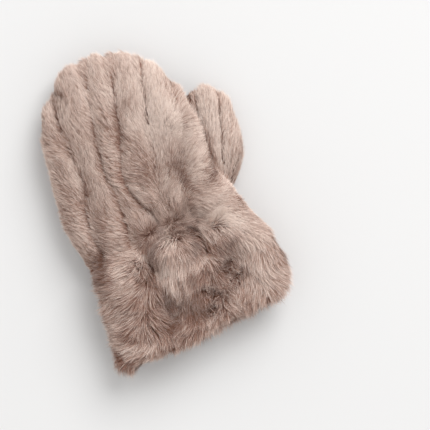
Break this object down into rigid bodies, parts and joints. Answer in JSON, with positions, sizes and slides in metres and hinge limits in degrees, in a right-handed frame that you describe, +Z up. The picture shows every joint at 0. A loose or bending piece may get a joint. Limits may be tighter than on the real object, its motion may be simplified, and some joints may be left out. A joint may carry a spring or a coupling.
{
  "type": "fur mitten",
  "caption": "Left-hand winter mitten in deep plush fur with lengthwise fur strips on the hand, a wide fluffy cuff and an open hollow for hand and thumb.",
  "frame": {"origin": "on the surface that the mitten lies on, under the middle of its outline", "axes": "+Y towards the fingertips, +X across the hand towards the thumb, +Z up, away from the palm"},
  "size_m": [0.1716, 0.2694, 0.0574],
  "materials": {
    "hand_fur": "soft deep pile in dusty rose taupe",
    "thumb_fur": "soft deep pile in dusty rose taupe",
    "cuff_fur": "long clumped pile in dusty rose taupe"
  },
  "bodies": {
    "root": {"hand_back": "hand_fur", "hand_palm": "hand_fur", "thumb": "thumb_fur", "cuff": "cuff_fur"}
  },
  "joints": []
}
